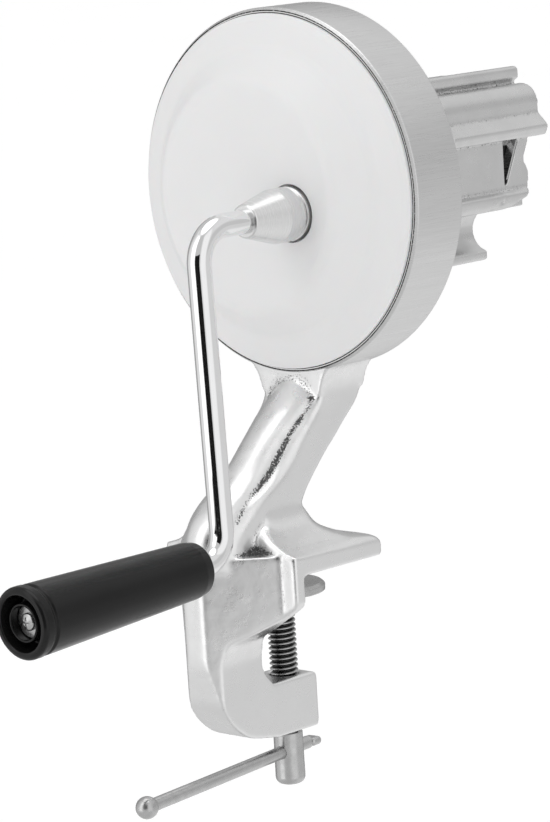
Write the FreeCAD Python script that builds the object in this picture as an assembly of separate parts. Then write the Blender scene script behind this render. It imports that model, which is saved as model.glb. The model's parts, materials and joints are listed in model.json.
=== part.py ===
import FreeCAD, Part
import math
import os

# Rotary vegetable slicer with a table clamp.
# Units are millimetres and +Z is up.  The origin lies on the clamp screw's axis, in the plane where
# the upper jaw rests on the table top.  The table edge enters the clamp from +Y, the crank faces -Y.

V = FreeCAD.Vector
AXIS_Y = V(0, 1, 0)
AXIS_Z = V(0, 0, 1)

# ---- driving dimensions -------------------------------------------------------------------------
# Drum: a short open cylinder, closed at the back by a cast wall and in front by a moulded cover.
DRUM_R = 64.0            # outer radius
DRUM_BORE_R = 60.0       # inner radius
DRUM_FRONT = 11.3        # Y of the front rim
DRUM_DEPTH = 24.2        # front rim to back face
DRUM_Z = 127.5           # height of the drum's centre over the table
WALL_T = 4.0             # thickness of the back wall
DRUM_BACK = DRUM_FRONT + DRUM_DEPTH
WALL_IN = DRUM_BACK - WALL_T

# Crank axis: parallel to Y, off the drum's centre towards the feed side.
AXLE_X = 20.9
AXLE_Z = DRUM_Z - 4.9
SHAFT_R = 5.0
HUB_R = 9.4
HUB_NOSE_R = 5.7
ROD_R = 4.2
CRANK_ARM = 112.5        # axle to the lower bend of the rod
GRIP_Z = AXLE_Z - CRANK_ARM
BEND_Y = -48.0           # lower bend of the rod
GRIP_TILT = 1.8          # degrees that the grip droops towards its free end
HUB_BACK = 1.0
HUB_SHOULDER = DRUM_FRONT - 25.6
HUB_NOSE = -28.2
GRIP_INNER, GRIP_END = -61.8, -143.0
ROD_END = -137.6

# Front cover: a shallow convex dish.
COVER_R = 62.0
COVER_T = 2.0
COVER_EDGE = 1.5         # how far the edge stands in front of the rim
SLOPE_R = 50.7           # where the dish turns from the rim zone to the cone
SLOPE_OUT = 5.8
FACE_R = 40.6            # flat centre of the dish
FACE_OUT = 16.5
COVER_HOLE_R = 10.1
PLUG_R = DRUM_BORE_R - 0.2   # rim that sits in the ring

# Cutting disc and knives, close in front of the back wall.
DISC_R = 36.0
DISC_T = 1.5
DISC_FRONT = 27.2
DISC_BACK = DISC_FRONT + DISC_T
KNIFE_COUNT = 3
KNIFE_IN, KNIFE_OUT = 15.0, 34.0
KNIFE_W = 9.0
KNIFE_T = 1.2
KNIFE_SCREWS = (18.5, 30.5)     # distances from the axle
COLLAR_BACK = 30.7
BUSH_END = 47.0
SHAFT_END = 50.6
RIVET_CIRCLE = 11.3
RIVET_ANGLES = (30, 150, 270)

# Clamp.
PLATE_HX = 31.0          # half width of the upper jaw plate
PLATE_FRONT, PLATE_BACK = -24.2, 21.8
PLATE_T = 5.0
THROAT_BACK = -19.4
SPINE_FRONT = -43.4
SPINE_HX = 4.6
JAW_HX = 8.5
RIDGE_X = 0.5            # the ridge on the neck stands a little to the feed side
JAW_TOP, JAW_BOTTOM, JAW_END = -41.5, -61.0, 8.8
SCREW_R = 5.0
PITCH = 1.8
SCREW_END = -81.5
PAD_TOP = -9.0
PAD_R = 16.2
PAD_PLATE = 1.9
TIP_TOP = PAD_TOP - 1.0
TIP_R = 3.8              # bulb at the screw's tip
NECK_R = 2.9             # neck under the bulb
LIP_BOTTOM = TIP_TOP - 2.8
THREAD_TOP = -14.6
THREAD_END = -62.6
BAR_R = 2.3
BAR_Z = -69.5
BAR_TURN = 7.4           # degrees between the bar and -Y

# Feed chute, behind the back wall on the +X side.
CHUTE_BACK = DRUM_FRONT + 75.0
CHUTE_SIDE = 52.0        # X of the side wall's outer face
FEED_X0, FEED_X1 = 33.5, 48.6
NOTCH_Y = DRUM_FRONT + 60.8
LUG_X, LUG_Z, LUG_R = 54.2, DRUM_Z + 24.6, 1.6
RUN_FIT = 0.06           # radial clearance of a running fit


# ---- helpers ------------------------------------------------------------------------------------
def box(x0, x1, y0, y1, z0, z1):
    return Part.makeBox(x1 - x0, y1 - y0, z1 - z0, V(x0, y0, z0))


def rod_y(r, y0, y1, x=AXLE_X, z=AXLE_Z):
    """A cylinder along Y, on the crank axis unless another place is given."""
    return Part.makeCylinder(r, y1 - y0, V(x, y0, z), AXIS_Y)


def rod_z(r, z0, z1, x=0.0, y=0.0):
    return Part.makeCylinder(r, z1 - z0, V(x, y, z0), AXIS_Z)


def cone_y(r0, r1, y0, y1, x=AXLE_X, z=AXLE_Z):
    return Part.makeCone(r0, r1, y1 - y0, V(x, y0, z), AXIS_Y)


def outline(corners, place):
    """A closed wire through 2-D corners (u, v, radius), each turned with a tangent arc."""
    count = len(corners)
    points = [V(c[0], c[1], 0) for c in corners]
    radii = [c[2] if len(c) > 2 else 0.0 for c in corners]
    ends = []
    for i in range(count):
        here, back, ahead = points[i], points[i - 1], points[(i + 1) % count]
        a = (back - here).normalize()
        b = (ahead - here).normalize()
        if radii[i] <= 0:
            ends.append((here, None, here))
            continue
        half = a.getAngle(b) / 2
        reach = radii[i] / math.tan(half)
        bisector = (a + b).normalize()
        middle = here + bisector * (radii[i] / math.sin(half) - radii[i])
        ends.append((here + a * reach, middle, here + b * reach))
    edges = []
    for i in range(count):
        start, middle, end = ends[i]
        if middle is not None:
            edges.append(Part.Arc(place(start), place(middle), place(end)).toShape())
        following = ends[(i + 1) % count][0]
        if (following - end).Length > 1e-6:
            edges.append(Part.LineSegment(place(end), place(following)).toShape())
    return Part.Wire(edges)


def prism_x(corners, x0, x1):
    """Extrude an outline of (y, z) corners from x0 to x1."""
    wire = outline(corners, lambda p: V(x0, p.x, p.y))
    return Part.Face(wire).extrude(V(x1 - x0, 0, 0))


def prism_y(corners, y0, y1):
    """Extrude an outline of (x, z) corners from y0 to y1."""
    wire = outline(corners, lambda p: V(p.x, y0, p.y))
    return Part.Face(wire).extrude(V(0, y1 - y0, 0))


def prism_z(corners, z0, z1):
    """Extrude an outline of (x, y) corners from z0 to z1."""
    wire = outline(corners, lambda p: V(p.x, p.y, z0))
    return Part.Face(wire).extrude(V(0, 0, z1 - z0))


def turned_y(corners, x=AXLE_X, z=AXLE_Z):
    """Turn an outline of (radius, y) corners round an axis parallel to Y."""
    wire = outline(corners, lambda p: V(x + p.x, p.y, z))
    return Part.Face(wire).revolve(V(x, 0, z), AXIS_Y, 360)


def turned_z(corners, x=0.0, y=0.0):
    """Turn an outline of (radius, z) corners round an axis parallel to Z."""
    wire = outline(corners, lambda p: V(x + p.x, y, p.y))
    return Part.Face(wire).revolve(V(x, y, 0), AXIS_Z, 360)


def mirrored(half):
    """Close a half outline of (x, v, radius) corners by its mirror image in x = 0."""
    return half + [(-c[0],) + tuple(c[1:]) for c in reversed(half)]


def union(shapes):
    result = shapes[0]
    for shape in shapes[1:]:
        result = result.fuse(shape)
    return result.removeSplitter()


def save(name, shape):
    solids = shape.Solids
    body = solids[0] if len(solids) == 1 else Part.makeCompound(solids)
    print("%-18s solids %d  volume %9.1f  valid %s" % (name, len(solids), body.Volume, body.isValid()))
    body.exportStep("parts/%s.step" % name)


# ---- the main casting ---------------------------------------------------------------------------
def drum():
    """Ring and back wall with the bearing boss."""
    ring = rod_y(DRUM_R, DRUM_FRONT, DRUM_BACK, 0, DRUM_Z)
    ring = ring.makeChamfer(0.9, ring.Edges)
    room = rod_y(DRUM_BORE_R, DRUM_FRONT - 1, WALL_IN, 0, DRUM_Z)
    boss = rod_y(10.5, WALL_IN, BUSH_END)
    return ring, room, boss


def level_section(z, half_x, front, back, front_r, back_r):
    """Level rectangle with round corners, as one wire."""
    corners = mirrored([(half_x, front, front_r), (half_x, back, back_r)])
    return outline(corners, lambda p: V(p.x, p.y, z))


def neck():
    """The leaning column between drum and clamp, without the ridge on its front."""
    # height, half width, front, back, radius of the front corners
    stations = [
        (3.0, 13.0, -42.9, 4.0, 11.5),
        (9.0, 13.0, -42.0, 3.0, 11.5),
        (15.0, 13.2, -37.0, 1.6, 10.0),
        (20.0, 13.4, -30.4, 2.2, 8.5),
        (25.0, 13.5, -24.5, 5.2, 8.0),
        (29.0, 13.6, -17.8, 8.6, 8.0),
        (34.0, 13.6, -11.0, 13.4, 8.0),
        (40.0, 13.6, -5.0, 20.0, 7.5),
        (47.0, 13.6, 2.6, 27.6, 6.0),
        (52.0, 13.6, 8.8, 33.0, 4.0),
        (57.0, 14.0, 12.4, 35.2, 2.2),
        (61.0, 15.0, 12.4, 35.2, 2.2),
    ]
    wires = [level_section(z, half_x, front, back, r, 4.0) for z, half_x, front, back, r in stations]
    return Part.makeLoft(wires, True, False)


def ridge():
    """Rounded ridge down the front of the neck, which ends as an arch in the drum's foot."""
    # height, front, half width
    stations = [
        (3.0, -42.9, 10.0), (9.0, -42.4, 10.0), (15.0, -41.0, 10.0), (20.0, -38.0, 9.6), (25.0, -32.2, 9.2),
        (29.0, -26.0, 9.0), (34.0, -19.4, 8.8), (40.0, -13.2, 8.8), (47.0, -5.6, 9.2), (54.0, 3.2, 10.4),
        (58.0, 8.0, 9.6), (60.0, 10.2, 7.8), (62.0, 12.4, 5.0)]
    wires = []
    for z, front, half in stations:
        side = front + half
        left, right = V(RIDGE_X - half, side, z), V(RIDGE_X + half, side, z)
        arc = Part.Arc(right, V(RIDGE_X, front, z), left).toShape()
        back_left, back_right = left + V(0, 5, 0), right + V(0, 5, 0)
        wires.append(Part.Wire([arc, Part.makeLine(left, back_left), Part.makeLine(back_left, back_right),
                                Part.makeLine(back_right, right)]))
    return Part.makeLoft(wires, True, False)


def drum_foot():
    """Flared web that spreads the neck's load into the ring."""
    half = [(38.0, 78.0), (16.2, 65.0, 12.0), (13.7, 56.5)]
    return prism_y(mirrored(half), DRUM_FRONT + 0.6, DRUM_BACK - 0.3)


def jaw_flare():
    """Hollow-sided pyramid between the upper jaw plate and the neck."""
    # height, half width, front, back edge, radii of the front and back corners
    stations = [
        (4.2, 30.7, -24.1, 21.5, 1.0, 2.4), (5.8, 30.6, -24.1, 21.2, 1.0, 3.0),
        (8.0, 26.8, -24.2, 16.0, 1.2, 9.0), (10.2, 22.4, -24.2, 10.4, 1.6, 9.0),
        (12.2, 19.2, -23.8, 7.0, 2.4, 8.0), (14.4, 16.6, -22.6, 5.0, 4.0, 6.0),
        (17.8, 14.4, -21.0, 3.0, 4.0, 4.0), (22.0, 13.2, -20.0, 2.4, 4.0, 4.0)]
    wires = [level_section(z, half_x, front, back, fr, br) for z, half_x, front, back, fr, br in stations]
    return Part.makeLoft(wires, True, False)


def clamp_frame():
    """C-shaped frame: side profile, narrowed by its front view and by its plan."""
    side = prism_x([
        (PLATE_BACK, 0.0, 1.2), (PLATE_BACK, PLATE_T, 1.8), (-22.0, PLATE_T + 2.0), (SPINE_FRONT, 7.0, 2.0),
        (SPINE_FRONT + 0.1, -30.0, 24.0), (-39.4, -48.9, 20.0), (-28.9, -58.3, 20.0),
        (-14.0, JAW_BOTTOM, 20.0),
        (JAW_END, JAW_BOTTOM, 2.5), (JAW_END, JAW_TOP, 3.0), (THROAT_BACK, JAW_TOP, 9.0),
        (THROAT_BACK, 0.0, 1.6)], -PLATE_HX, PLATE_HX)
    front_half = [
        (PLATE_HX, 9.0), (PLATE_HX, -10.5, 4.0), (17.0, -19.6, 6.0), (JAW_HX + 1.5, -23.5, 5.0),
        (JAW_HX, -31.0, 8.0), (JAW_HX, JAW_BOTTOM - 1.0)]
    front = prism_y(mirrored(front_half), SPINE_FRONT - 1, PLATE_BACK + 1)
    plan_half = [
        (SPINE_HX, SPINE_FRONT, 3.0), (22.0, -26.6, 3.0), (24.4, PLATE_FRONT, 1.2),
        (PLATE_HX, PLATE_FRONT, 1.2), (PLATE_HX, PLATE_BACK, 2.5)]
    plan = prism_z(mirrored(plan_half), JAW_BOTTOM - 1, 9.0)
    lower = box(-JAW_HX, JAW_HX, -30.0, JAW_END, JAW_BOTTOM, JAW_TOP)
    lower = lower.makeFillet(2.4, [e for e in lower.Edges if e.BoundBox.YMin > JAW_END - 0.1])
    body = side.common(front).common(plan)
    end_block = body.common(box(-40, 40, -15, 40, -70, -30))
    rest = body.cut(end_block)
    return union([rest, end_block.common(lower)])


def feed_windows(y0, y1):
    """The two feed channels, cut through from y0 to y1."""
    large = prism_y([
        (FEED_X0, DRUM_Z - 9.0, 4.0), (FEED_X1, DRUM_Z - 9.0, 4.0),
        (FEED_X1, DRUM_Z + 11.5, 4.0), (FEED_X0, DRUM_Z + 11.5, 4.0)], y0, y1)
    small = rod_y(6.4, y0, y1, 30.6, DRUM_Z + 21.0)
    return [large, small]


def discharge_window():
    """Kidney-shaped opening in the back wall, on the side away from the feed."""
    y0, y1 = WALL_IN - 1, DRUM_BACK + 1
    band = rod_y(56.0, y0, y1, 0, DRUM_Z).cut(rod_y(30.0, y0 - 1, y1 + 1, 0, DRUM_Z))
    side = prism_y([(-4.0, DRUM_Z), (-60.0, DRUM_Z + 46.0), (-70.0, DRUM_Z), (-64.0, DRUM_Z - 60.0),
                    (-22.0, DRUM_Z - 60.0)], y0, y1)
    return band.common(side)


SCREW_SPOTS = [(19.0, DRUM_Z + 30.5), (53.0, DRUM_Z + 20.0), (30.0, DRUM_Z - 26.0)]


def main_casting():
    ring, room, boss = drum()
    body = union([ring, neck(), ridge(), drum_foot(), jaw_flare(), clamp_frame()])
    body = body.cut(room)
    body = union([body, boss])
    tools = feed_windows(WALL_IN - 1, DRUM_BACK + 1) + [discharge_window()]
    tools.append(rod_y(7.0, WALL_IN - 1, BUSH_END + 1))
    tools.append(rod_z(SCREW_R + RUN_FIT, JAW_BOTTOM - 1, JAW_TOP + 1))
    for x, z in SCREW_SPOTS:
        tools.append(rod_y(2.1, WALL_IN - 1, DRUM_BACK + 1, x, z))
        tools.append(cone_y(4.0, 2.1, WALL_IN, WALL_IN + 1.9, x, z))
    return body.cut(tools).removeSplitter()


# ---- the feed chute -----------------------------------------------------------------------------
def feed_chute():
    """Cast chute: a round tube over a square channel, with a roof lip and fins above and below."""
    profile = [(x, DRUM_Z + z, r) for x, z, r in [
        (13.0, 33.4, 1.0), (44.4, 33.6, 1.4), (45.4, 37.0, 0.9), (48.8, 37.0, 1.4), (48.8, 32.8, 1.0),
        (47.2, 32.2, 0.6), (46.4, 30.0, 0.8),
        (50.0, 31.2, 2.0), (57.0, 30.4, 6.6), (57.0, 21.0, 1.0), (61.4, 16.6, 1.2), (60.2, 13.2, 1.2),
        (CHUTE_SIDE, 12.6, 0.8), (CHUTE_SIDE, -5.2, 1.2), (54.4, -6.8, 1.6), (53.4, -11.6, 3.0),
        (37.0, -13.6, 4.0), (29.6, -23.0, 7.0), (40.0, -27.4, 1.0), (39.6, -30.6, 1.2), (20.5, -31.0, 2.0),
        (21.0, 6.0, 2.0), (13.0, 14.0, 3.0)]]
    body = prism_y(profile, DRUM_BACK, CHUTE_BACK)
    body = body.cut(rod_y(12.0, DRUM_BACK - 1, CHUTE_BACK + 1))
    lower_end = box(0, 49.0, CHUTE_BACK - 11.0, CHUTE_BACK + 1, DRUM_Z - 40, DRUM_Z - 12.4)
    notch = prism_x([
        (NOTCH_Y, DRUM_Z + 12.2), (NOTCH_Y + 8.6, DRUM_Z + 12.2), (NOTCH_Y + 0.6, DRUM_Z - 4.6, 2.0),
        (NOTCH_Y - 2.6, DRUM_Z - 9.0, 4.0), (NOTCH_Y - 10.0, DRUM_Z - 12.6), (NOTCH_Y - 9.6, DRUM_Z - 11.6),
        (NOTCH_Y - 3.4, DRUM_Z - 8.4, 3.0), (NOTCH_Y, DRUM_Z - 5.0, 1.0)], FEED_X1 - 0.5, 62.0)
    rear = CHUTE_BACK + 1
    end = prism_x([
        (rear, DRUM_Z + 12.2), (CHUTE_BACK, DRUM_Z + 12.2), (CHUTE_BACK - 3.6, DRUM_Z + 4.4, 3.0),
        (CHUTE_BACK - 1.0, DRUM_Z + 0.8, 4.0), (CHUTE_BACK - 1.4, DRUM_Z - 5.0, 5.0),
        (CHUTE_BACK - 5.0, DRUM_Z - 8.6, 4.0), (CHUTE_BACK - 15.0, DRUM_Z - 12.0), (rear, DRUM_Z - 20.0)],
        FEED_X1 - 0.6, 62.0)
    tools = feed_windows(DRUM_BACK - 1, CHUTE_BACK + 1) + [lower_end, notch, end]
    for x, z in SCREW_SPOTS:
        tools.append(rod_y(2.0, DRUM_BACK - 1, DRUM_BACK + 10.0, x, z))
    tools.append(rod_y(LUG_R, CHUTE_BACK - 4.0, CHUTE_BACK + 1, LUG_X, LUG_Z))
    return body.cut(tools).removeSplitter()


def string_knife():
    """Thin blade that lies on the sloping back face of the notch and trims the edge of the food."""
    slope = 8.0 / 16.8
    low, high, thick = -1.6, 11.8, 0.7
    y_low, y_high = [NOTCH_Y + 0.6 + slope * (z + 4.6) for z in (low, high)]
    wire = outline([(y_low - thick, DRUM_Z + low), (y_high - thick, DRUM_Z + high), (y_high, DRUM_Z + high),
                    (y_low, DRUM_Z + low)], lambda p: V(FEED_X1 - 0.4, p.x, p.y))
    return Part.Face(wire).extrude(V(CHUTE_SIDE - FEED_X1, 0, 0))


def string_knife_pin():
    """Round-headed pin in the tube's rear end."""
    return turned_y([
        (0.0, CHUTE_BACK - 4.0), (LUG_R, CHUTE_BACK - 4.0), (LUG_R, CHUTE_BACK), (LUG_R + 0.3, CHUTE_BACK),
        (LUG_R + 0.3, CHUTE_BACK + 1.6, 1.0), (0.0, CHUTE_BACK + 1.6)], LUG_X, LUG_Z)


def chute_screws():
    screws = []
    for x, z in SCREW_SPOTS:
        shank = rod_y(2.0, WALL_IN + 1.0, DRUM_BACK + 9.5, x, z)
        head = cone_y(3.9, 2.0, WALL_IN + 0.05, WALL_IN + 1.95, x, z)
        slot = box(x - 3.2, x + 3.2, WALL_IN - 1, WALL_IN + 0.8, z - 0.4, z + 0.4)
        screws.append(shank.fuse(head).cut(slot))
    return Part.makeCompound(screws)


# ---- the cover ----------------------------------------------------------------------------------
def front_cover():
    y_edge = DRUM_FRONT - COVER_EDGE
    y_slope = DRUM_FRONT - SLOPE_OUT
    y_face = DRUM_FRONT - FACE_OUT
    inner_slope = SLOPE_R - 1.0
    inner_face = FACE_R - 0.8
    wall = turned_y([
        (0.0, y_face), (FACE_R, y_face, 7.0), (SLOPE_R, y_slope, 9.0), (COVER_R - 2.4, y_edge - 1.0, 6.0),
        (COVER_R, y_edge + 0.2, 0.6), (COVER_R, DRUM_FRONT), (PLUG_R, DRUM_FRONT),
        (PLUG_R, DRUM_FRONT + 4.5, 0.4), (PLUG_R - 1.8, DRUM_FRONT + 4.5, 0.4),
        (PLUG_R - 1.8, DRUM_FRONT + 0.4, 1.0), (inner_slope, y_slope + COVER_T, 8.0),
        (inner_face, y_face + COVER_T, 6.0), (0.0, y_face + COVER_T)], 0, DRUM_Z)
    return wall.cut(rod_y(COVER_HOLE_R, y_face - 1, y_face + COVER_T + 1))


# ---- the crank ----------------------------------------------------------------------------------
def drooped(shape):
    """Turn a shape made along Y about the rod's lower bend, to the grip's own axis."""
    shape.rotate(V(AXLE_X, BEND_Y, GRIP_Z), V(1, 0, 0), GRIP_TILT)
    return shape


def crank_hub():
    """Turned hub: a straight collar with a groove, then a cone down to the rod."""
    body = turned_y([
        (0.0, HUB_BACK), (HUB_R, HUB_BACK, 0.6), (HUB_R, -6.6, 0.2), (HUB_R - 0.8, -7.0, 0.2),
        (HUB_R - 0.8, -8.0, 0.2), (HUB_R, -8.4, 0.2), (HUB_R, HUB_SHOULDER, 1.0),
        (HUB_NOSE_R, HUB_NOSE, 0.8), (0.0, HUB_NOSE)])
    bores = [rod_y(SHAFT_R, -12.0, HUB_BACK + 1), rod_y(ROD_R, HUB_NOSE - 1, -20.0)]
    return body.cut(bores)


def crank_rod():
    """One bent bar: out of the hub, down the arm, and forward through the grip."""
    start = V(AXLE_X, -20.0, AXLE_Z)
    elbow = V(AXLE_X, -51.2, AXLE_Z)
    knee = V(AXLE_X, BEND_Y, GRIP_Z)
    tilt = math.radians(GRIP_TILT)
    end = knee + V(0, -math.cos(tilt), -math.sin(tilt)) * (BEND_Y - ROD_END)
    edges = []
    here = start
    for before, corner, after, radius in [(start, elbow, knee, 12.0), (elbow, knee, end, 10.0)]:
        a = (before - corner).normalize()
        b = (after - corner).normalize()
        half = a.getAngle(b) / 2
        reach = radius / math.tan(half)
        middle = corner + (a + b).normalize() * (radius / math.sin(half) - radius)
        edges.append(Part.LineSegment(here, corner + a * reach).toShape())
        edges.append(Part.Arc(corner + a * reach, middle, corner + b * reach).toShape())
        here = corner + b * reach
    edges.append(Part.LineSegment(here, end).toShape())
    path = Part.Wire(edges)
    ring = Part.Wire(Part.Circle(start, AXIS_Y, ROD_R).toShape())
    bar = path.makePipeShell([ring], True, True)
    bar = Part.Solid(bar) if bar.ShapeType == "Shell" else bar
    print("crank rod", round(bar.Volume / (math.pi * ROD_R ** 2 * path.Length), 4), "of section x length")
    return bar.cut(drooped(rod_y(1.6, ROD_END - 1, ROD_END + 12, AXLE_X, GRIP_Z)))


def grip():
    """Tapered moulded grip, with a double lip and an open ring recess at its free end."""
    bore = ROD_R + RUN_FIT
    body = turned_y([
        (bore, GRIP_INNER), (9.1, GRIP_INNER, 0.8), (9.8, GRIP_INNER - 4.0, 3.0), (11.9, -132.0, 20.0),
        (12.0, -136.6, 0.8), (11.4, -137.4, 0.5), (11.4, -138.0, 0.5), (12.2, -138.8, 0.8),
        (12.2, GRIP_END, 1.8), (9.4, GRIP_END, 0.8), (9.0, -134.0, 0.8), (6.9, -134.0, 0.8),
        (6.5, -141.6, 0.5), (5.7, -141.6, 0.3), (5.7, ROD_END + 0.3), (bore, ROD_END + 0.3)], AXLE_X, GRIP_Z)
    return drooped(body)


def grip_washer():
    ring = rod_y(5.3, ROD_END - 0.9, ROD_END, AXLE_X, GRIP_Z)
    return drooped(ring.cut(rod_y(1.6, ROD_END - 2, ROD_END + 1, AXLE_X, GRIP_Z)))


def grip_screw():
    top = ROD_END - 0.9
    shank = rod_y(1.6, top, ROD_END + 11, AXLE_X, GRIP_Z)
    head = turned_y([(0.0, top), (3.0, top), (3.0, top - 1.1, 0.8), (1.2, top - 1.9, 1.0), (0.0, top - 1.9)],
                    AXLE_X, GRIP_Z)
    cross = [box(AXLE_X - 1.7, AXLE_X + 1.7, top - 3, top - 1.1, GRIP_Z - 0.35, GRIP_Z + 0.35),
             box(AXLE_X - 0.35, AXLE_X + 0.35, top - 3, top - 1.1, GRIP_Z - 1.7, GRIP_Z + 1.7)]
    return drooped(union([shank, head]).cut(cross))


# ---- the cutting parts --------------------------------------------------------------------------


def about_axle(shape, degrees):
    turned = shape.copy()
    turned.rotate(V(AXLE_X, 0, AXLE_Z), AXIS_Y, degrees)
    return turned


def cutter_shaft():
    body = turned_y([(0.0, -11.8), (SHAFT_R, -11.8, 0.6), (SHAFT_R, SHAFT_END, 0.8), (0.0, SHAFT_END)])
    groove = rod_y(SHAFT_R + 1, BUSH_END + 0.8, BUSH_END + 1.9).cut(rod_y(SHAFT_R - 0.7, 40, 55))
    return body.cut(groove)


def disc_collar():
    """Flanged collar that carries the disc, fixed on the shaft."""
    body = turned_y([
        (SHAFT_R, 12.0), (8.0, 12.0, 0.6), (8.0, 24.2, 1.0), (13.6, 24.2, 0.6), (13.6, DISC_FRONT),
        (7.2, DISC_FRONT), (7.2, COLLAR_BACK, 0.4), (SHAFT_R, COLLAR_BACK)])
    return body.cut([about_axle(rod_y(1.5, 20, 30, AXLE_X + RIVET_CIRCLE), a) for a in RIVET_ANGLES])


def disc_rivets():
    rivets = []
    for a in RIVET_ANGLES:
        x = AXLE_X + RIVET_CIRCLE
        shank = rod_y(1.5, 24.2, DISC_BACK, x)
        heads = [rod_y(2.1, 23.2, 24.2, x), rod_y(2.1, DISC_BACK, 29.4, x)]
        rivet = union([shank] + heads)
        rivets.append(about_axle(rivet, a))
    return Part.makeCompound(rivets)


def cutting_disc():
    body = rod_y(DISC_R, DISC_FRONT, DISC_BACK)
    tools = [rod_y(7.2, 20, 40)]
    for i in range(KNIFE_COUNT):
        turn = 360.0 * i / KNIFE_COUNT
        slot = prism_y([
            (AXLE_X + KNIFE_IN - 0.5, AXLE_Z + 3.4, 1.5), (AXLE_X + KNIFE_OUT - 0.8, AXLE_Z + 3.4, 1.5),
            (AXLE_X + KNIFE_OUT - 0.8, AXLE_Z + 8.4, 1.5), (AXLE_X + KNIFE_IN - 0.5, AXLE_Z + 8.4, 1.5)],
            DISC_FRONT - 1, DISC_BACK + 1)
        tools.append(about_axle(slot, turn))
        for r in KNIFE_SCREWS:
            tools.append(about_axle(rod_y(1.45, 20, 40, AXLE_X + r), turn))
    for a in RIVET_ANGLES:
        tools.append(about_axle(rod_y(1.5, 20, 40, AXLE_X + RIVET_CIRCLE), a))
    return body.cut(tools)


def knife(i):
    """Blade on the disc's back, with its ground edge over the disc's slot."""
    y0 = DISC_BACK
    wire = outline([(y0, -4.2), (y0 + KNIFE_T, -4.2), (y0 + KNIFE_T, KNIFE_W - 4.2), (y0, KNIFE_W - 6.6)],
                   lambda p: V(AXLE_X + KNIFE_IN, p.x, AXLE_Z + p.y))
    blade = Part.Face(wire).extrude(V(KNIFE_OUT - KNIFE_IN, 0, 0))
    blade = blade.cut([rod_y(1.45, 20, 40, AXLE_X + r) for r in KNIFE_SCREWS])
    return about_axle(blade, 360.0 * i / KNIFE_COUNT)


def knife_screws():
    screws = []
    for i in range(KNIFE_COUNT):
        for r in KNIFE_SCREWS:
            shank = rod_y(1.45, DISC_FRONT, DISC_BACK + KNIFE_T, AXLE_X + r)
            head = turned_y([(0.0, DISC_FRONT), (2.7, DISC_FRONT), (2.7, DISC_FRONT - 1.4, 0.7),
                             (0.0, DISC_FRONT - 1.4)], AXLE_X + r)
            x = AXLE_X + r
            slot = box(x - 3, x + 3, DISC_FRONT - 2, DISC_FRONT - 0.8, AXLE_Z - 0.35, AXLE_Z + 0.35)
            screws.append(about_axle(union([shank, head]).cut(slot), 360.0 * i / KNIFE_COUNT))
    return Part.makeCompound(screws)


def washer(r_in, r_out, y0, y1):
    return rod_y(r_out, y0, y1).cut(rod_y(r_in, y0 - 1, y1 + 1))


def rear_bush():
    """Flanged bearing bush pressed into the boss of the back wall."""
    return washer(SHAFT_R + RUN_FIT, 7.0, WALL_IN, BUSH_END)


def retaining_ring():
    ring = washer(SHAFT_R - 0.65, SHAFT_R + 2.0, BUSH_END + 0.85, BUSH_END + 1.85)
    gap = box(AXLE_X - 2.6, AXLE_X + 2.6, BUSH_END, BUSH_END + 3, AXLE_Z, AXLE_Z + 12)
    return ring.cut(gap)


# ---- the clamp screw ----------------------------------------------------------------------------


def clamp_screw():
    """Threaded spindle with a grooved tip for the pad and a smooth drilled head."""
    core_r = SCREW_R - 0.95
    core = turned_z([
        (0.0, TIP_TOP), (TIP_R, TIP_TOP, 0.5), (TIP_R, TIP_TOP - 1.6, 0.3), (NECK_R, TIP_TOP - 2.0),
        (NECK_R, LIP_BOTTOM - 0.3), (core_r - 0.6, LIP_BOTTOM - 0.3), (core_r, THREAD_TOP + 0.6),
        (core_r, THREAD_END), (0.0, THREAD_END)])
    head = turned_z([(0.0, THREAD_END), (5.2, THREAD_END, 0.5), (5.3, SCREW_END, 2.6), (0.0, SCREW_END)])
    height = THREAD_TOP - THREAD_END - 1.0
    helix = Part.makeHelix(PITCH, height, core_r)
    root, tip = 0.88, 0.14
    ridge = Part.makePolygon([
        V(core_r - 0.12, 0, -root), V(SCREW_R, 0, -tip), V(SCREW_R, 0, tip), V(core_r - 0.12, 0, root),
        V(core_r - 0.12, 0, -root)])
    thread = Part.Wire(helix).makePipeShell([Part.Wire(ridge)], True, True)
    thread = Part.Solid(thread) if thread.ShapeType == "Shell" else thread
    thread.translate(V(0, 0, THREAD_END + 0.2))
    hole = Part.makeCylinder(BAR_R + RUN_FIT, 30, V(0, 0, BAR_Z), bar_direction(), 360)
    hole.translate(bar_direction() * -15)
    body = core.fuse(head).fuse(thread)
    return body.cut(hole)


def pressure_pad():
    """Pressed cup with a crimped lip under the bulb of the screw's tip, on which it turns."""
    body = turned_z([
        (0.0, PAD_TOP), (PAD_R - 1.2, PAD_TOP, 0.8), (PAD_R, PAD_TOP - 1.0, 0.8), (PAD_R, PAD_TOP - 3.2, 0.4),
        (PAD_R - 1.2, PAD_TOP - 3.2, 0.4), (PAD_R - 1.4, PAD_TOP - PAD_PLATE, 0.5),
        (6.6, PAD_TOP - PAD_PLATE, 0.6), (6.2, LIP_BOTTOM, 0.3), (NECK_R + RUN_FIT, LIP_BOTTOM),
        (NECK_R + RUN_FIT, LIP_BOTTOM + 0.6), (TIP_R + RUN_FIT, LIP_BOTTOM + 0.8),
        (TIP_R + RUN_FIT, TIP_TOP + 0.05),
        (0.0, TIP_TOP + 0.05)])
    return body


def bar_direction():
    """Unit vector from the screw towards the ball end of the tommy bar."""
    a = math.radians(BAR_TURN)
    return V(math.sin(a), -math.cos(a), 0)


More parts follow.
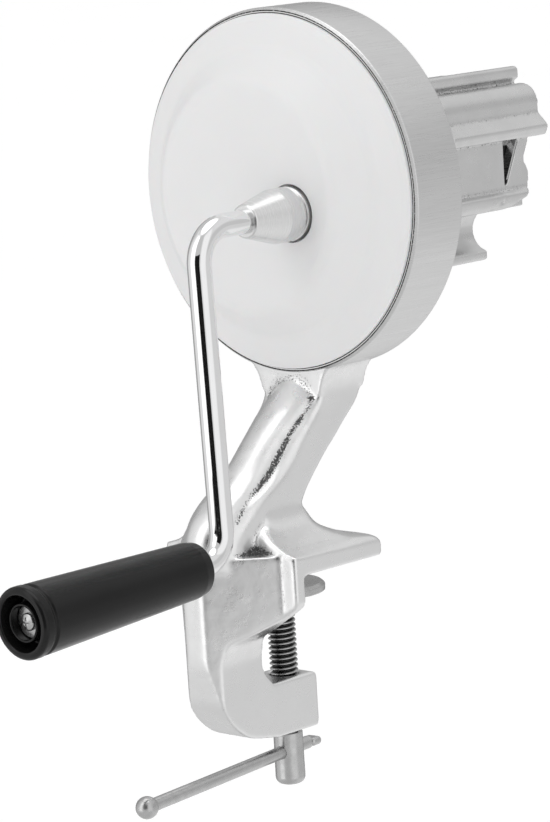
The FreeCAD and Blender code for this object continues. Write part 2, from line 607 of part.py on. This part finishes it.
def tommy_bar():
    """Sliding bar with a flattened end that stops it at the screw."""
    d = bar_direction()
    bar = Part.makeCylinder(BAR_R, 92.0, V(0, 0, BAR_Z) + d * -11.5, d)
    paddle = box(-3.1, 3.1, 0, 5.4, -1.5, 1.5)
    paddle = paddle.makeFillet(1.4, paddle.Edges)
    paddle.rotate(V(0, 0, 0), AXIS_Z, BAR_TURN)
    paddle.translate(V(0, 0, BAR_Z) + d * -11.0)
    return union([bar, paddle])


def tommy_ball():
    d = bar_direction()
    centre = V(0, 0, BAR_Z) + d * 82.6
    ball = Part.makeSphere(3.9, centre)
    return ball.cut(Part.makeCylinder(BAR_R, 92.0, V(0, 0, BAR_Z) + d * -11.5, d))


# ---- build --------------------------------------------------------------------------------------
os.makedirs("parts", exist_ok=True)
save("main_casting", main_casting())
save("feed_chute", feed_chute())
save("chute_screws", chute_screws())
save("string_knife", string_knife())
save("string_knife_pin", string_knife_pin())
save("front_cover", front_cover())
save("rear_bush", rear_bush())
save("crank_hub", crank_hub())
save("crank_rod", crank_rod())
save("grip", grip())
save("grip_washer", grip_washer())
save("grip_screw", grip_screw())
save("cutter_shaft", cutter_shaft())
save("disc_collar", disc_collar())
save("disc_rivets", disc_rivets())
save("cutting_disc", cutting_disc())
for index in range(KNIFE_COUNT):
    save("knife_%d" % (index + 1), knife(index))
save("knife_screws", knife_screws())
save("thrust_washer", washer(SHAFT_R + RUN_FIT, 9.0, COLLAR_BACK, WALL_IN))
save("rear_washer", washer(SHAFT_R + RUN_FIT, 8.6, BUSH_END, BUSH_END + 0.8))
save("retaining_ring", retaining_ring())
save("clamp_screw", clamp_screw())
save("pressure_pad", pressure_pad())
save("tommy_bar", tommy_bar())
save("tommy_ball", tommy_ball())
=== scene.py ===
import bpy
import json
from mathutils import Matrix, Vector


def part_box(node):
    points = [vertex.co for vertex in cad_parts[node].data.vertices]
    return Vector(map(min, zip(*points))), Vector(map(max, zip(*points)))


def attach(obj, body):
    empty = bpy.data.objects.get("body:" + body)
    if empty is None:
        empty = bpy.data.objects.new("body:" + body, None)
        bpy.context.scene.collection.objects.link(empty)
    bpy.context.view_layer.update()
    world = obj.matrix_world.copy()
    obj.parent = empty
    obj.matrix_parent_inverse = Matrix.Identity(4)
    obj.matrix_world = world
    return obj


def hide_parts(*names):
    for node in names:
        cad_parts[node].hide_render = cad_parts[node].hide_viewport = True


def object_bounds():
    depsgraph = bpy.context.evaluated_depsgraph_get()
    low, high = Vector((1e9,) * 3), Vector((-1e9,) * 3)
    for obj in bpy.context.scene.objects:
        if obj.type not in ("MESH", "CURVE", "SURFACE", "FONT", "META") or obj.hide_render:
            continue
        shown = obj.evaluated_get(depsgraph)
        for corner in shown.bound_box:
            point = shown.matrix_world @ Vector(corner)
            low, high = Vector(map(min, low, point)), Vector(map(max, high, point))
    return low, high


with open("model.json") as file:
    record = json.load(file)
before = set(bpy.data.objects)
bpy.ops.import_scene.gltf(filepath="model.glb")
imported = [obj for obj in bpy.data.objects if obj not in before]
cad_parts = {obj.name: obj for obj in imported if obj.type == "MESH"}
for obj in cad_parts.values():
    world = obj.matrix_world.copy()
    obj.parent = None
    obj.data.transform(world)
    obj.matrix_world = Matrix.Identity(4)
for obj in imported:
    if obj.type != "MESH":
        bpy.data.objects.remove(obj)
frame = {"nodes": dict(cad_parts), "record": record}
CAD_BOX = [list(corner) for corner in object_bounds()]

import json
import math

import bmesh
import bpy
import numpy as np
from mathutils import Matrix, Vector

# ---- camera -------------------------------------------------------------------------------------
AZIMUTH, ELEVATION, ROLL = 43.54, 9.30, -3.47       # degrees
CAMERA_AT = Vector((0.9012, -0.9450, 0.2657))
LENS_MM = 166.3


def add_camera():
    a, e, r = (math.radians(v) for v in (AZIMUTH, ELEVATION, ROLL))
    back = Vector((math.sin(a) * math.cos(e), -math.cos(a) * math.cos(e), math.sin(e)))
    level = Vector((math.cos(a), math.sin(a), 0))
    up = back.cross(level)
    right = level * math.cos(r) + up * math.sin(r)
    top = up * math.cos(r) - level * math.sin(r)
    turn = Matrix((right, top, back)).transposed().to_4x4()
    data = bpy.data.cameras.new("camera")
    data.lens = LENS_MM
    camera = bpy.data.objects.new("camera", data)
    camera.matrix_world = Matrix.Translation(CAMERA_AT) @ turn
    bpy.context.scene.collection.objects.link(camera)
    bpy.context.scene.camera = camera


# ---- node helpers -------------------------------------------------------------------------------
class Nodes:
    """A node tree under construction: each call adds a node and links or sets its inputs."""

    def __init__(self, tree):
        self.tree = tree

    def node(self, kind, **values):
        made = self.tree.nodes.new(kind)
        for key, value in values.items():
            setattr(made, key, value)
        return made

    def put(self, socket, value):
        if isinstance(value, bpy.types.NodeSocket):
            self.tree.links.new(value, socket)
        else:
            socket.default_value = value

    def math(self, operation, a, b=0.0, clamp=False):
        made = self.node("ShaderNodeMath", operation=operation, use_clamp=clamp)
        self.put(made.inputs[0], a)
        self.put(made.inputs[1], b)
        return made.outputs[0]

    def times(self, a, b, clamp=False):
        return self.math("MULTIPLY", a, b, clamp)

    def hypot(self, a, b):
        return self.math("SQRT", self.math("ADD", self.times(a, a), self.times(b, b)))

    def split(self, vector):
        parts = self.node("ShaderNodeSeparateXYZ")
        self.put(parts.inputs[0], vector)
        return parts.outputs

    def join(self, x, y, z):
        made = self.node("ShaderNodeCombineXYZ")
        for socket, v in zip(made.inputs, (x, y, z)):
            self.put(socket, v)
        return made.outputs[0]

    def grid(self, *parts):
        """A texture place from three (value, scale) pairs."""
        return self.join(*(self.times(value, scale) for value, scale in parts))

    def span(self, value, low, high, out_low=0.0, out_high=1.0):
        made = self.node("ShaderNodeMapRange")
        for socket, v in zip(made.inputs, (value, low, high, out_low, out_high)):
            self.put(socket, v)
        return made.outputs[0]

    def mix(self, factor, a, b):
        """Colour between a and b."""
        made = self.node("ShaderNodeMix", data_type="RGBA")
        self.put(made.inputs["Factor"], factor)
        self.put(made.inputs["A"], a)
        self.put(made.inputs["B"], b)
        return made.outputs["Result"]

    def blend(self, factor, a, b):
        """Number between a and b."""
        made = self.node("ShaderNodeMix", data_type="FLOAT")
        self.put(made.inputs[0], factor)
        self.put(made.inputs[2], a)
        self.put(made.inputs[3], b)
        return made.outputs[0]


class Shader(Nodes):
    """A Principled material, with positions read in the object's frame."""

    SOCKETS = {"color": "Base Color", "metallic": "Metallic", "roughness": "Roughness", "normal": "Normal",
               "specular": "Specular IOR Level", "anisotropic": "Anisotropic",
               "subsurface": "Subsurface Weight", "subsurface_scale": "Subsurface Scale"}

    def __init__(self, name):
        self.material = bpy.data.materials.new(name)
        self.material.use_nodes = True
        super().__init__(self.material.node_tree)
        self.bsdf = self.tree.nodes["Principled BSDF"]
        self.place = self.node("ShaderNodeTexCoord").outputs["Object"]

    def set(self, **values):
        for key, value in values.items():
            self.put(self.bsdf.inputs[self.SOCKETS[key]], value)

    def stretched(self, scale):
        made = self.node("ShaderNodeMapping")
        self.put(made.inputs["Vector"], self.place)
        made.inputs["Scale"].default_value = scale
        return made.outputs[0]

    def noise(self, scale, detail=3.0, rough=0.55, vector=None):
        made = self.node("ShaderNodeTexNoise")
        self.put(made.inputs["Vector"], vector or self.place)
        made.inputs["Scale"].default_value = scale
        made.inputs["Detail"].default_value = detail
        made.inputs["Roughness"].default_value = rough
        return made.outputs["Fac"]

    def bump(self, height, distance, strength=1.0, under=None):
        made = self.node("ShaderNodeBump")
        made.inputs["Distance"].default_value = distance
        made.inputs["Strength"].default_value = strength
        self.put(made.inputs["Height"], height)
        if under is not None:
            self.put(made.inputs["Normal"], under)
        return made.outputs[0]

    def around_y(self, x, z):
        """Distance from an axis parallel to Y, angle round it, and Y."""
        parts = self.split(self.place)
        dx = self.math("SUBTRACT", parts["X"], x)
        dz = self.math("SUBTRACT", parts["Z"], z)
        return self.hypot(dx, dz), self.math("ARCTAN2", dz, dx), parts["Y"]

    def tones(self, scale, detail, low, high):
        """Colour that drifts between two tones."""
        self.set(color=self.mix(self.noise(scale, detail), low, high))

    def gloss(self, scale, detail, noise_range, roughness_range):
        """Roughness that drifts: a range of the noise is spread over a range of roughness."""
        self.set(roughness=self.span(self.noise(scale, detail), *noise_range, *roughness_range))

    def grain(self, scale, detail, height, strength):
        """Fine relief, with its height in metres."""
        self.set(normal=self.bump(self.noise(scale, detail), height, strength))


def grey(v, tint=0.0):
    return (v, v, v * (1 + tint), 1.0)


# ---- places taken from the frame ----------------------------------------------------------------
RING_DEPTH = 0.0242             # of the drum's ring, front to back
GROOVE_INSET = 0.0011           # scored line in from the ring's outer edge

cover_low, cover_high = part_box("front_cover")
hub_low, hub_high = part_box("crank_hub")
DRUM_Z = (cover_low[2] + cover_high[2]) / 2
DRUM_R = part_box("main_casting")[1][2] - DRUM_Z
RING_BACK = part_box("feed_chute")[0][1]
RING_FRONT = RING_BACK - RING_DEPTH
GROOVE_R = DRUM_R - GROOVE_INSET
COVER_R = (cover_high[0] - cover_low[0]) / 2
AXLE = ((hub_low[0] + hub_high[0]) / 2, (hub_low[2] + hub_high[2]) / 2)
SCREW_HEAD = -0.0626            # Z of the smooth head's top, under the thread
THREAD_FLANK, THREAD_ROOT = 0.0049, 0.0044      # from the screw's axis, where the painted shade begins and is full


# ---- materials ----------------------------------------------------------------------------------
HOLLOW = "hollow"               # mesh attribute: 0 on open faces to 1 deep in a hollow corner
SPECKLE_SCALE = 1700.0
# Hollow corners: painted shade tone (partly the rough casting's darker tone) and their roughness.
CREASE_SHADE_TONE, CREASE_ROUGHNESS = 0.13, 0.60
# Painted shade tones: in the ring's scored line and under the cover's edge, with some dirt; in the roots of
# the screw's thread.
SHADE_AND_DIRT_TONE, ROOT_SHADE_TONE = 0.04, 0.05


def cast_aluminium(name, dull, bright):
    """Tumbled casting: satin, softly wavy, and rough where the tumbling doesn't reach; hollow corners are
    painted dark as shade, partly the rough casting's own darker tone.
    """
    s = Shader(name)
    hollow = s.node("ShaderNodeAttribute", attribute_name=HOLLOW).outputs["Fac"]
    speckle = s.noise(SPECKLE_SCALE, 4.0, 0.75)
    edge = s.span(hollow, 1.0, 0.25, 0.43, 0.62)
    dark = s.span(speckle, s.math("SUBTRACT", edge, 0.05), edge)
    crease_shade_and_roughness = s.times(dark, s.span(hollow, 0.08, 0.30), clamp=True)
    satin_tone = s.mix(s.noise(60.0, 4.0), grey(dull), grey(bright))
    # Painted shade: hollow corners turn dark and speckled.
    s.set(color=s.mix(crease_shade_and_roughness, satin_tone, grey(CREASE_SHADE_TONE)), metallic=1.0)
    satin = s.span(s.noise(260.0, 5.0), 0.3, 0.75, 0.24, 0.38)
    s.set(roughness=s.blend(crease_shade_and_roughness, satin, CREASE_ROUGHNESS))
    wavy = s.bump(s.noise(170.0, 3.0, 0.45), 0.0005, 0.30)
    fine = s.bump(s.noise(SPECKLE_SCALE, 3.0, 0.6), 0.00004, 0.35, wavy)
    s.set(normal=s.bump(s.times(speckle, crease_shade_and_roughness), 0.0003, 0.7, fine))
    return s.material


def machined_aluminium():
    """Ring faced and turned in a lathe, then rubbed along its axis."""
    s = Shader("machined_aluminium")
    radius, angle, along = s.around_y(0.0, DRUM_Z)
    strokes = s.noise(1.0, 5.0, 0.75, s.grid((angle, 230.0), (along, 70.0), (radius, 900.0)))
    broad = s.noise(1.0, 3.0, 0.6, s.join(s.times(angle, 34.0), s.times(along, 12.0), 0.3))
    # The scored line is broken by gaps. Painted shade, with some dirt, darkens it and a thin line under the
    # cover's edge, on the front only.
    off_line = s.math("ABSOLUTE", s.math("SUBTRACT", radius, GROOVE_R))
    gaps = s.span(s.noise(1.0, 2.0, 0.6, s.join(s.times(angle, 60.0), 0.0, 0.0)), 0.38, 0.5)
    scored = s.times(s.span(off_line, 0.00024, 0.00016), gaps, clamp=True)
    under_cover = s.span(radius, COVER_R + 0.0004, COVER_R + 0.00025)
    front = s.span(along, RING_FRONT + 0.0008, RING_FRONT + 0.0006)
    shade_and_dirt = s.times(s.math("MAXIMUM", scored, under_cover), front, clamp=True)
    metal = s.mix(strokes, grey(0.60), grey(0.84))
    s.set(color=s.mix(shade_and_dirt, metal, grey(SHADE_AND_DIRT_TONE)), metallic=1.0)
    s.set(roughness=s.math("ADD", s.span(strokes, 0.25, 0.8, 0.20, 0.36), s.span(broad, 0.3, 0.7, 0.0, 0.08)))
    s.set(normal=s.bump(strokes, 0.00006, 0.8, s.bump(broad, 0.0004, 0.25)))
    return s.material


def white_plastic():
    s = Shader("white_plastic")
    s.tones(30.0, 3.0, (0.80, 0.80, 0.805, 1), (0.84, 0.84, 0.84, 1))
    s.set(subsurface=0.08, subsurface_scale=0.002)
    s.gloss(400.0, 3.0, (0.3, 0.7), (0.36, 0.48))
    s.grain(2600.0, 2.0, 0.00002, 0.35)
    return s.material


def black_plastic():
    s = Shader("black_plastic")
    s.tones(60.0, 3.0, grey(0.006), grey(0.011))
    s.set(specular=0.26)
    s.gloss(500.0, 4.0, (0.3, 0.7), (0.13, 0.24))
    s.grain(700.0, 2.0, 0.00003, 0.3)
    return s.material


def chrome():
    s = Shader("chrome")
    s.tones(80.0, 3.0, grey(0.86), grey(0.92, 0.01))
    s.set(metallic=1.0)
    s.gloss(900.0, 4.0, (0.35, 0.75), (0.03, 0.09))
    s.grain(260.0, 2.0, 0.00005, 0.15)
    return s.material


def turned(name, tone, axis, low, high):
    """Lathe-turned metal: fine rings round an axis parallel to Y, with roughness from low to high."""
    s = Shader(name)
    radius, angle, along = s.around_y(*axis)
    rings = s.noise(1.0, 4.0, 0.75, s.grid((along, 4200.0), (radius, 4200.0), (angle, 0.25)))
    s.set(color=s.mix(rings, grey(tone * 0.9), grey(tone)), metallic=1.0, anisotropic=0.4)
    s.set(roughness=s.span(rings, 0.25, 0.8, low, high))
    s.set(normal=s.bump(rings, 0.00004, 0.7))
    return s.material


def zinc_steel():
    """Zinc plate, with the roots of the clamp screw's thread painted dark as shade."""
    s = Shader("zinc_steel")
    x, y, z = s.split(s.place)
    in_thread = s.span(s.hypot(x, y), THREAD_FLANK, THREAD_ROOT)
    above_head = s.span(z, SCREW_HEAD, SCREW_HEAD + 0.0004)
    # Painted shade in the thread's roots, above the head.
    root_shade = s.times(in_thread, above_head, clamp=True)
    plate = s.mix(s.noise(300.0, 4.0), grey(0.46), grey(0.66))
    s.set(color=s.mix(root_shade, plate, grey(ROOT_SHADE_TONE)), metallic=1.0)
    s.gloss(700.0, 4.0, (0.3, 0.75), (0.20, 0.38))
    s.grain(1500.0, 3.0, 0.00004, 0.4)
    return s.material


def ground_steel():
    """Sheet steel ground in one direction."""
    s = Shader("stainless")
    lines = s.noise(1.0, 4.0, 0.7, s.stretched((160.0, 400.0, 5200.0)))
    s.set(color=s.mix(lines, grey(0.62), grey(0.74)), metallic=1.0)
    s.set(roughness=s.span(lines, 0.25, 0.8, 0.20, 0.36))
    s.set(normal=s.bump(lines, 0.00002, 0.6))
    return s.material


# Near-black metal for the sheet that stands in for shade inside the channel.
def shade_sheet_metal():
    s = Shader("shade_sheet_steel")
    s.tones(500.0, 4.0, grey(0.03), grey(0.12))
    s.set(metallic=0.6)
    s.gloss(900.0, 3.0, (0.3, 0.7), (0.45, 0.7))
    s.grain(1500.0, 2.0, 0.00003, 0.4)
    return s.material


def bronze():
    """Sintered bronze: one noise drives its colour, gloss and pores."""
    s = Shader("bronze")
    specks = s.noise(2200.0, 3.0)
    s.set(color=s.mix(specks, (0.42, 0.27, 0.12, 1), (0.62, 0.43, 0.22, 1)), metallic=1.0)
    s.set(roughness=s.span(specks, 0.3, 0.7, 0.3, 0.5), normal=s.bump(specks, 0.00003, 0.5))
    return s.material


RING_METAL = machined_aluminium()
# Darker copy of the cast aluminium: painted shade on the chute, which sits behind the ring.
SHADED_CHUTE_METAL = cast_aluminium("shaded_chute_aluminium", 0.62, 0.78)
MATERIALS = {
    "cast_aluminium": cast_aluminium("cast_aluminium", 0.84, 0.92),
    "white_plastic": white_plastic(),
    "black_plastic": black_plastic(),
    "chrome_rod": chrome(),
    "turned_hub": turned("turned_hub", 0.84, AXLE, 0.16, 0.34),
    "zinc_steel": zinc_steel(),
    "stainless": ground_steel(),
    "bronze": bronze(),
}


def dress_nodes():
    slots = {entry["node"]: entry["material_slot"] for entry in frame["record"]["subparts"]}
    for name, obj in frame["nodes"].items():
        for holder in obj.material_slots:
            holder.material = MATERIALS[slots[name]]


# ---- mesh helpers -------------------------------------------------------------------------------
def new_object(name, mesh):
    made = bpy.data.objects.new(name, mesh)
    bpy.context.scene.collection.objects.link(made)
    return made


def built(name, shape, material):
    """The object of a finished bmesh."""
    mesh = bpy.data.meshes.new(name)
    shape.to_mesh(mesh)
    shape.free()
    mesh.materials.append(material)
    return new_object(name, mesh)


def skin(shape, rows, closed):
    """Faces between neighbouring rows of points, where each row is a loop."""
    following = rows[1:] + rows[:1] if closed else rows[1:]
    for here, ahead in zip(rows, following):
        for k in range(len(here)):
            m = (k + 1) % len(here)
            shape.faces.new((here[k], here[m], ahead[m], ahead[k]))


def points_of(mesh):
    flat = np.empty(len(mesh.vertices) * 3, dtype=np.float32)
    mesh.vertices.foreach_get("co", flat)
    return flat.reshape(-1, 3)


def set_points(mesh, points):
    mesh.vertices.foreach_set("co", points.ravel())
    mesh.update()


# ---- castings -----------------------------------------------------------------------------------
def smoothed(source, rounds):
    """Mesh of an object with its points averaged with their neighbours a number of times."""
    smooth = source.modifiers.new("smooth", "SMOOTH")
    smooth.factor = 0.5
    smooth.iterations = rounds
    mesh = bpy.data.meshes.new_from_object(source.evaluated_get(bpy.context.evaluated_depsgraph_get()))
    source.modifiers.remove(smooth)
    return mesh


def mark_hollows(mesh, wide, full, zones):
    """Store how far each point moves out as its surroundings are evened: far in a hollow corner.

    full is the distance that counts as 1; each zone makes the marks in it weaker or stronger.
    """
    normals = np.empty(len(mesh.vertices) * 3, dtype=np.float32)
    mesh.vertices.foreach_get("normal", normals)
    outward = np.einsum("ij,ij->i", points_of(wide) - points_of(mesh), normals.reshape(-1, 3))
    x, _, z = points_of(mesh).T
    for low_x, high_x, low_z, high_z, strength in zones:
        inside = (x > low_x) & (x < high_x) & (z > low_z) & (z < high_z)
        outward = np.where(inside, outward * strength, outward)
    layer = mesh.attributes.new(HOLLOW, "FLOAT", "POINT")
    layer.data.foreach_set("value", np.clip(outward / full, 0.0, 1.0).astype(np.float32))


def softened(name, node, metal, voxel, rounds, wide_rounds, full, zones=()):
    """A copy of a cast node with its edges and corners rounded as a casting's are."""
    rough = new_object(name + "_rough", frame["nodes"][node].data.copy())
    remesh = rough.modifiers.new("remesh", "REMESH")
    remesh.mode = "VOXEL"
    remesh.voxel_size = voxel
    mesh = smoothed(rough, rounds)
    wide = smoothed(rough, wide_rounds)
    mark_hollows(mesh, wide, full, zones)
    bpy.data.objects.remove(rough)
    bpy.data.meshes.remove(wide)
    mesh.shade_smooth()
    mesh.materials.clear()
    mesh.materials.append(metal)
    return new_object(name, mesh)


# How strongly each region's hollow corners are painted dark as shade and made rough: x from and to, z from
# and to, strength.
FAR = 1                         # past the object on every side
CREASE_ZONES = [
    (-FAR, FAR, -FAR, 0.0046, 0.35),            # clamp
    (0.004, 0.0128, 0.018, 0.056, 2.6),         # beside the neck's ridge
    (-FAR, FAR, 0.056, 0.08, 0.55),             # where the neck meets the ring
    (0.0128, FAR, 0.010, 0.056, 0.4),           # neck's outer side
]
RING_T = 0.004                  # depth of the machined ring's profile, in from its outer edge
RING_LIP = 0.0004               # how far the rough casting stays inside the machined ring
RIM_MARGIN, FRONT_MARGIN = 0.0005, 0.001        # bounds of the casting's points that count as the ring's
SCREW_CLEAR = 0.00535           # radius kept free for the clamp screw
TINY = 1e-6


def casting_body():
    """The main casting without the machined skin of its ring."""
    piece = softened("casting_body", "main_casting", MATERIALS["cast_aluminium"],
                     voxel=0.0007, rounds=9, wide_rounds=90, full=0.0007, zones=CREASE_ZONES)
    points = points_of(piece.data)
    x, y, z = points.T          # views: they follow each change to points
    radius = np.hypot(x, z - DRUM_Z)
    ring = (radius > DRUM_R - RING_T + RIM_MARGIN) & (radius < DRUM_R) & (y > RING_FRONT - FRONT_MARGIN)
    shrink = np.where(ring, np.minimum(radius, DRUM_R - RING_LIP) / np.maximum(radius, TINY), 1.0)
    points[:, 0] = x * shrink
    points[:, 2] = DRUM_Z + (z - DRUM_Z) * shrink
    points[:, 1] = np.where(ring, np.clip(y, RING_FRONT + RING_LIP, RING_BACK - RING_LIP), y)
    bore = np.hypot(x, y)
    near = (bore < SCREW_CLEAR) & (z < 0)
    push = np.where(near, SCREW_CLEAR / np.maximum(bore, TINY), 1.0)
    points[:, 0] *= push
    points[:, 1] *= push
    set_points(piece.data, points)
    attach(piece, "frame")
    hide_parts("main_casting")


CORNER_STEPS = 5


def rounded(corners):
    """Outline with each (u, v, radius) corner turned by a short fan of points."""
    points = []
    for i, (u, v, radius) in enumerate(corners):
        here = Vector((u, v))
        a = (Vector(corners[i - 1][:2]) - here).normalized()
        b = (Vector(corners[(i + 1) % len(corners)][:2]) - here).normalized()
        start, end = here + a * radius, here + b * radius
        for k in range(CORNER_STEPS + 1):
            t = k / CORNER_STEPS
            points.append(tuple(start * (1 - t) ** 2 + here * 2 * t * (1 - t) + end * t ** 2))
    return points


def lathe(name, outline, centre, steps, material):
    """A closed ring: (radius, y) corners turned round an axis parallel to Y."""
    shape = bmesh.new()
    rows = []
    for i in range(steps):
        turn = 2 * math.pi * i / steps
        rows.append([shape.verts.new((centre[0] + r * math.cos(turn), y, centre[1] + r * math.sin(turn)))
                     for r, y in outline])
    skin(shape, rows, closed=True)
    bmesh.ops.recalc_face_normals(shape, faces=shape.faces)
    made = built(name, shape, material)
    made.data.shade_smooth()
    return made


GROOVE_HALF, GROOVE_BOTTOM_HALF = 0.0002, 0.0001        # half widths of the scored line
GROOVE_DEPTH = 0.0004
CHAMFER = 0.0009
EDGE, CHAMFER_EDGE, GROOVE_EDGE = 0.0002, 0.0003, 0.00003       # corner radii


def ring_skin():
    """The ring's turned surfaces, with a bright chamfer round each rim."""
    inner = DRUM_R - RING_T
    bottom = RING_FRONT + GROOVE_DEPTH
    profile = rounded([
        (inner, RING_FRONT, EDGE),
        (GROOVE_R - GROOVE_HALF, RING_FRONT, GROOVE_EDGE),
        (GROOVE_R - GROOVE_BOTTOM_HALF, bottom, GROOVE_EDGE),
        (GROOVE_R + GROOVE_BOTTOM_HALF, bottom, GROOVE_EDGE),
        (GROOVE_R + GROOVE_HALF, RING_FRONT, GROOVE_EDGE),
        (DRUM_R - CHAMFER, RING_FRONT, EDGE),
        (DRUM_R, RING_FRONT + CHAMFER, CHAMFER_EDGE),
        (DRUM_R, RING_BACK - CHAMFER, CHAMFER_EDGE),
        (DRUM_R - CHAMFER, RING_BACK, EDGE),
        (inner, RING_BACK, EDGE)])
    piece = lathe("ring_skin", profile, (0.0, DRUM_Z), 360, RING_METAL)
    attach(piece, "frame")


def chute_body():
    piece = softened("chute_body", "feed_chute", SHADED_CHUTE_METAL,
                     voxel=0.0005, rounds=3, wide_rounds=40, full=0.0008)
    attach(piece, "frame")
    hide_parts("feed_chute")


# A near-black sheet in the channel stands in for the shade seen through the side wall's notch.
SHADE_SHEET_T = 0.0006
SHADE_SHEET_GAP = 0.0004              # between the notch's blade and the dark sheet of painted shade
SHADE_SHEET_PAST = (0.009, 0.0008)    # past the blade's front and back ends
SHADE_SHEET_RISE = (-0.0074, 0.0116)  # from the drum's axis
SHADE_SHEET_BOW = 0.0004
SHADE_SHEET_STEPS = 8


def channel_shade_sheet():
    """Thin dark sheet inside the square channel: painted shade, seen through the side wall's notch."""
    low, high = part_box("string_knife")
    x = low[0] - SHADE_SHEET_GAP
    y0, y1 = low[1] - SHADE_SHEET_PAST[0], high[1] + SHADE_SHEET_PAST[1]
    z0, z1 = (DRUM_Z + rise for rise in SHADE_SHEET_RISE)
    corners = ((0, z0), (0, z1), (-SHADE_SHEET_T, z1), (-SHADE_SHEET_T, z0))
    shape = bmesh.new()
    columns = []
    for i in range(SHADE_SHEET_STEPS + 1):
        t = i / SHADE_SHEET_STEPS
        face = x - SHADE_SHEET_BOW * math.sin(math.pi * t)
        y = y0 + (y1 - y0) * t
        columns.append([shape.verts.new((face + off, y, z)) for off, z in corners])
    skin(shape, columns, closed=False)
    shape.faces.new(columns[0])
    shape.faces.new(columns[-1][::-1])
    bmesh.ops.recalc_face_normals(shape, faces=shape.faces)
    piece = built("channel_shade_sheet", shape, shade_sheet_metal())
    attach(piece, "frame")


# ---- studio -------------------------------------------------------------------------------------
FLOOR_DROP = 0.30               # below the object
FLOOR_SIZE = 30
FLOOR_GLOW = 0.14
KEY_AT, KEY_SIZE, KEY_POWER = (-0.5, -1.1, 1.1), 0.9, 0.6       # place from the object's centre
ROOM = 0.58                     # brightness where there is no panel
# Softboxes and dark gaps round the object, each as: degrees to the right of the camera from and to,
# degrees above the horizon from and to, softness in degrees, brightness. Later ones cover earlier ones.
PANELS = [
    (-400, 400, -91, 0, 3, 0.68),
    (-400, -128, -24, 26, 8, 0.36),
    (142, 400, -24, 26, 8, 0.36),
    (60, 400, -70, -24, 8, 0.86),
    (-120, -76, -30, 60, 7, 0.78),
    (-80, -44, -20, 60, 7, 1.35),
    (10, 60, -25, 55, 8, 0.95),
    (60, 400, 26, 62, 8, 0.76),
    (-400, 400, 66, 91, 6, 1.9),
]
# A black card that shows only as the dark stripe in the bright rod: degrees to the right of the camera,
# heights, distance from the rod, its centre as shares of the rod's width and depth, and strips.
FLAG_TURNS = (-41, 9)
FLAG_RISE = (-0.068, 0.22)
FLAG_DISTANCE = 0.30
FLAG_CENTRE = (0.5, 0.3)
FLAG_STRIPS = 12


def patch(s, value, low, high, soft):
    """1 where low < value < high, with soft edges, else 0."""
    up = s.node("ShaderNodeMapRange", interpolation_type="SMOOTHSTEP")
    down = s.node("ShaderNodeMapRange", interpolation_type="SMOOTHSTEP")
    for made, a, b in ((up, low - soft, low + soft), (down, high + soft, high - soft)):
        s.put(made.inputs["Value"], value)
        made.inputs["From Min"].default_value = a
        made.inputs["From Max"].default_value = b
    return s.times(up.outputs[0], down.outputs[0])


def sky():
    """World light that depends on direction only, as the panels say."""
    world = bpy.data.worlds.new("studio")
    bpy.context.scene.world = world
    world.use_nodes = True
    s = Nodes(world.node_tree)
    toward = s.node("ShaderNodeTexCoord").outputs["Generated"]
    a = math.radians(AZIMUTH)
    sides = []
    for axis in ((math.cos(a), math.sin(a), 0), (math.sin(a), -math.cos(a), 0)):
        dot = s.node("ShaderNodeVectorMath", operation="DOT_PRODUCT")
        s.put(dot.inputs[0], toward)
        dot.inputs[1].default_value = axis
        sides.append(dot.outputs["Value"])
    turn = s.times(s.math("ARCTAN2", *sides), math.degrees(1))
    rise = s.times(s.math("ARCSINE", s.split(toward)["Z"]), math.degrees(1))
    light = ROOM
    for left, right, low, high, soft, bright in PANELS:
        mask = s.times(patch(s, turn, left, right, soft), patch(s, rise, low, high, soft))
        light = s.blend(mask, light, bright)
    background = world.node_tree.nodes["Background"]
    s.put(background.inputs["Color"], s.join(light, light, light))


def flag():
    low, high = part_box("crank_rod")
    x, y = (low[k] + FLAG_CENTRE[k] * (high[k] - low[k]) for k in (0, 1))
    shape = bmesh.new()
    pairs = []
    for i in range(FLAG_STRIPS + 1):
        turn = FLAG_TURNS[0] + (FLAG_TURNS[1] - FLAG_TURNS[0]) * i / FLAG_STRIPS
        a = math.radians(AZIMUTH + turn)
        at = (x + FLAG_DISTANCE * math.sin(a), y - FLAG_DISTANCE * math.cos(a))
        pairs.append([shape.verts.new((*at, z)) for z in FLAG_RISE])
    for here, ahead in zip(pairs, pairs[1:]):
        shape.faces.new((here[0], ahead[0], ahead[1], here[1]))
    black = Shader("flag")
    black.tones(9.0, 3.0, grey(0.01), grey(0.02))
    black.set(roughness=1.0, specular=0.0)
    card = built("flag", shape, black.material)
    for ray in ("camera", "diffuse", "transmission", "volume_scatter", "shadow"):
        setattr(card, "visible_" + ray, False)


def add_floor():
    bpy.ops.mesh.primitive_plane_add(size=FLOOR_SIZE, location=(0, 0, CAD_BOX[0][2] - FLOOR_DROP))
    floor = bpy.context.object
    floor.name = "floor"
    floor.visible_glossy = False
    pale = Shader("floor")
    pale.tones(2.0, 3.0, grey(0.93), grey(0.96))
    pale.set(roughness=0.9)
    pale.bsdf.inputs["Emission Color"].default_value = grey(1.0)
    pale.bsdf.inputs["Emission Strength"].default_value = FLOOR_GLOW
    floor.data.materials.append(pale.material)


def add_key_light():
    centre = Vector([(low + high) / 2 for low, high in zip(*CAD_BOX)])
    data = bpy.data.lights.new("key", "AREA")
    data.energy = KEY_POWER
    data.shape = "RECTANGLE"
    data.size = KEY_SIZE
    data.size_y = KEY_SIZE
    light = bpy.data.objects.new("key", data)
    light.location = centre + Vector(KEY_AT)
    light.rotation_euler = (centre - light.location).to_track_quat("-Z", "Y").to_euler()
    bpy.context.scene.collection.objects.link(light)


bpy.context.scene.view_settings.view_transform = "Standard"
add_camera()
dress_nodes()
casting_body()
ring_skin()
chute_body()
channel_shade_sheet()
add_floor()
sky()
flag()
add_key_light()
